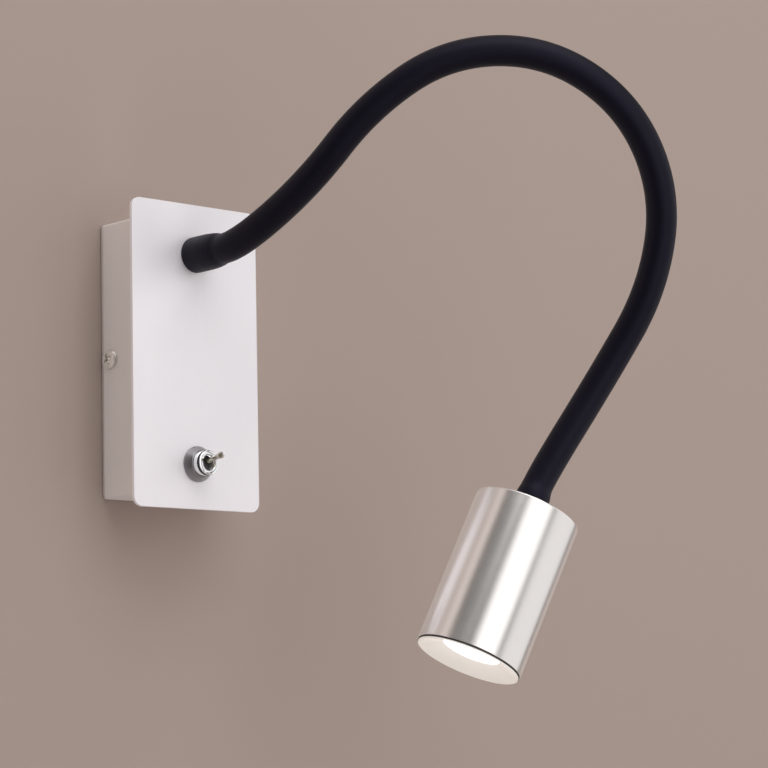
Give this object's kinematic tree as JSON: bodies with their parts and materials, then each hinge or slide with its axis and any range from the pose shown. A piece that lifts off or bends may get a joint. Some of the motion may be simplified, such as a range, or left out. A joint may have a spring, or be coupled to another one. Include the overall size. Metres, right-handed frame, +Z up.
{
  "type": "wall reading lamp",
  "caption": "Bedside wall reading lamp: satin nickel wall box with a toggle switch, black flexible arm and a cylindrical spot head that shines down.",
  "frame": {"origin": "Middle of the wall bracket's back face, on the wall's surface.", "axes": "+Z up the wall, +Y into the wall, so the lamp stands out along -Y, and +X to the right for someone facing the lamp."},
  "size_m": [0.15, 0.1805, 0.2429],
  "materials": {
    "zinc_steel": "bright zinc plate",
    "black_nylon": "moulded nylon",
    "tinned_brass": "plain",
    "bright_screw": "nickel plate",
    "nickel_satin_box": "satin nickel plate",
    "nickel_satin_plate": "satin nickel plate, very fine grain",
    "phenolic_red_brown": "phenolic moulding",
    "chrome": "bright",
    "grey_satin_nut": "satin",
    "lever_nickel": "nickel plate worn warm",
    "white_plastic": "moulded",
    "foam_grey": "foam tape",
    "natural_nylon": "moulded nylon",
    "wire_brown": "insulation",
    "wire_blue": "insulation",
    "wire_green": "insulation",
    "wire_white": "insulation",
    "nickel_satin_head": "satin nickel plate",
    "raw_aluminium": "turned",
    "phosphor": "phosphor gel",
    "lens_lit": "frosted, lit",
    "reflector_white": "white, lit from inside",
    "arm_black": "matte black sleeving",
    "hose_steel": "plain",
    "lead_grey": "jacket"
  },
  "bodies": {
    "wall_unit": {"wall_bracket": "zinc_steel", "entry_bushing": "black_nylon", "earth_lug": "tinned_brass", "earth_screw": "bright_screw", "box_shell": "nickel_satin_box", "front_plate": "nickel_satin_plate", "side_screws": "bright_screw", "switch_body": "phenolic_red_brown", "switch_blades": "tinned_brass", "switch_neck": "chrome", "switch_lock_washer": "zinc_steel", "switch_dress_nut": "grey_satin_nut", "led_driver": "white_plastic", "driver_pad": "foam_grey", "terminal_block": "natural_nylon", "terminal_inserts": "tinned_brass", "terminal_screws": "bright_screw", "terminal_pad": "foam_grey", "line_wire": "wire_brown", "switched_wire": "wire_brown", "neutral_wire": "wire_blue", "earth_wire": "wire_green", "output_wires": "wire_white", "arm_base_washer": "zinc_steel", "arm_base_nut": "zinc_steel", "base_ferrule": "tinned_brass", "sleeve_base": "arm_black", "spine_base": "hose_steel", "lead_base": "lead_grey"},
    "switch_toggle": {"switch_lever": "lever_nickel"},
    "arm_rise": {"sleeve_rise": "arm_black", "spine_rise": "hose_steel", "lead_rise": "lead_grey"},
    "arm_crown": {"sleeve_crown": "arm_black", "spine_crown": "hose_steel", "lead_crown": "lead_grey"},
    "arm_fall": {"sleeve_fall": "arm_black", "spine_fall": "hose_steel", "lead_fall": "lead_grey"},
    "arm_drop": {"sleeve_drop": "arm_black", "spine_drop": "hose_steel", "lead_drop": "lead_grey"},
    "head": {"sleeve_tip": "arm_black", "spine_tip": "hose_steel", "lead_tip": "lead_grey", "tip_ferrule": "tinned_brass", "head_shell": "nickel_satin_head", "head_washer": "zinc_steel", "head_nut": "zinc_steel", "heatsink": "raw_aluminium", "led_board": "white_plastic", "led_chip": "phosphor", "board_screws": "bright_screw", "head_cores": "wire_white", "lens_spacer": "black_nylon", "lens": "lens_lit", "reflector": "reflector_white"}
  },
  "joints": [
    {"name": "arm_swing", "type": "hinge", "parent": "wall_unit", "child": "arm_rise", "pos_m": [0.0035, -0.07125, 0.05075], "axis": [-0.1085, 0.5039, 0.8569], "range_deg": [-30, 30]},
    {"name": "arm_lift", "type": "hinge", "parent": "arm_rise", "child": "arm_crown", "pos_m": [0.027, -0.12325, 0.09725], "axis": [0.5325, 0.7455, 0.4008], "range_deg": [-30, 15]},
    {"name": "crown_bend", "type": "hinge", "parent": "arm_crown", "child": "arm_fall", "pos_m": [0.0805, -0.166, 0.09725], "axis": [0.5958, 0.758, 0.2656], "range_deg": [-30, 20]},
    {"name": "fall_bend", "type": "hinge", "parent": "arm_fall", "child": "arm_drop", "pos_m": [0.113, -0.17025, 0.03725], "axis": [0.5777, 0.7722, 0.2647], "range_deg": [-30, 20]},
    {"name": "head_swing", "type": "hinge", "parent": "arm_drop", "child": "head", "pos_m": [0.09475, -0.13885, -0.0314], "axis": [0.4138, 0.8944, 0.1698], "range_deg": [-30, 30]},
    {"name": "switch_throw", "type": "hinge", "parent": "wall_unit", "child": "switch_toggle", "pos_m": [0, -0.031, -0.0417], "axis": [1, 0, 0], "range_deg": [0, 22]}
  ]
}
